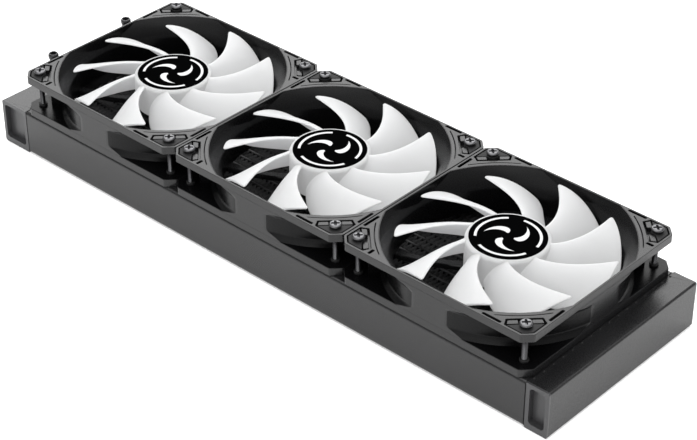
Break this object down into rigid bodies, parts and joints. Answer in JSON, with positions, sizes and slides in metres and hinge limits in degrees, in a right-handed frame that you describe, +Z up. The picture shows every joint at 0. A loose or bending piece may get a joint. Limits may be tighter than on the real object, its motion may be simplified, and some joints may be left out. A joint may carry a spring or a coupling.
{
  "type": "liquid cooling radiator",
  "caption": "Long slab radiator for liquid cooling with fan units bolted side by side on its top, end tanks and two hose stubs.",
  "frame": {"origin": "axis of the middle fan on the underside plane of the radiator, at the centre of the middle case hole square", "axes": "+X along the radiator to the plain tank, +Y across to the back side panel, +Z up out of the fans' intake side"},
  "size_m": [0.3958, 0.12, 0.0544],
  "materials": {
    "radiator_paint": "black satin paint",
    "core_paint": "matt black paint",
    "fitting_metal": "black plated",
    "frame_plastic": "semi-gloss black, fine moulded grain",
    "blade_plastic": "milky white, slightly see-through",
    "corner_rubber": "matt black rubber",
    "label_film": "black printed film",
    "rotor_steel": "plain steel",
    "magnet": "bonded ferrite",
    "bearing_bronze": "sintered bronze",
    "stator_steel": "laminated steel",
    "winding": "enamelled copper wire",
    "board": "green solder mask",
    "clip_plastic": "white nylon",
    "screw_steel": "black zinc"
  },
  "bodies": {
    "radiator": {"left_tank": "radiator_paint", "right_tank": "radiator_paint", "left_tank_cap_front": "radiator_paint", "left_tank_cap_back": "radiator_paint", "right_tank_cap_front": "radiator_paint", "right_tank_cap_back": "radiator_paint", "left_header": "radiator_paint", "right_header": "radiator_paint", "tank_baffle": "radiator_paint", "coolant_tubes": "core_paint", "cooling_fins": "core_paint", "side_panel_front": "radiator_paint", "side_panel_back": "radiator_paint", "inlet_fitting": "fitting_metal", "outlet_fitting": "fitting_metal", "left_fan_frame": "frame_plastic", "left_fan_bearing": "bearing_bronze", "left_fan_stator": "stator_steel", "left_fan_coils": "winding", "left_fan_circuit_board": "board", "left_fan_screws": "screw_steel", "left_fan_screw_washers": "frame_plastic", "left_fan_corner_pads": "corner_rubber", "middle_fan_frame": "frame_plastic", "middle_fan_bearing": "bearing_bronze", "middle_fan_stator": "stator_steel", "middle_fan_coils": "winding", "middle_fan_circuit_board": "board", "middle_fan_screws": "screw_steel", "middle_fan_screw_washers": "frame_plastic", "middle_fan_corner_pads": "corner_rubber", "right_fan_frame": "frame_plastic", "right_fan_bearing": "bearing_bronze", "right_fan_stator": "stator_steel", "right_fan_coils": "winding", "right_fan_circuit_board": "board", "right_fan_screws": "screw_steel", "right_fan_screw_washers": "frame_plastic", "right_fan_corner_pads": "corner_rubber"},
    "left_rotor": {"left_fan_impeller": "blade_plastic", "left_fan_hub_label": "label_film", "left_fan_rotor_cup": "rotor_steel", "left_fan_magnet_ring": "magnet", "left_fan_shaft": "rotor_steel", "left_fan_shaft_clip": "clip_plastic"},
    "middle_rotor": {"middle_fan_impeller": "blade_plastic", "middle_fan_hub_label": "label_film", "middle_fan_rotor_cup": "rotor_steel", "middle_fan_magnet_ring": "magnet", "middle_fan_shaft": "rotor_steel", "middle_fan_shaft_clip": "clip_plastic"},
    "right_rotor": {"right_fan_impeller": "blade_plastic", "right_fan_hub_label": "label_film", "right_fan_rotor_cup": "rotor_steel", "right_fan_magnet_ring": "magnet", "right_fan_shaft": "rotor_steel", "right_fan_shaft_clip": "clip_plastic"}
  },
  "joints": [
    {"name": "left_fan_spin", "type": "hinge", "parent": "radiator", "child": "left_rotor", "pos_m": [-0.1205, 0, 0.039], "axis": [0, 0, 1], "continuous": true},
    {"name": "middle_fan_spin", "type": "hinge", "parent": "radiator", "child": "middle_rotor", "pos_m": [0, 0, 0.039], "axis": [0, 0, 1], "continuous": true},
    {"name": "right_fan_spin", "type": "hinge", "parent": "radiator", "child": "right_rotor", "pos_m": [0.1205, 0, 0.039], "axis": [0, 0, 1], "continuous": true}
  ]
}
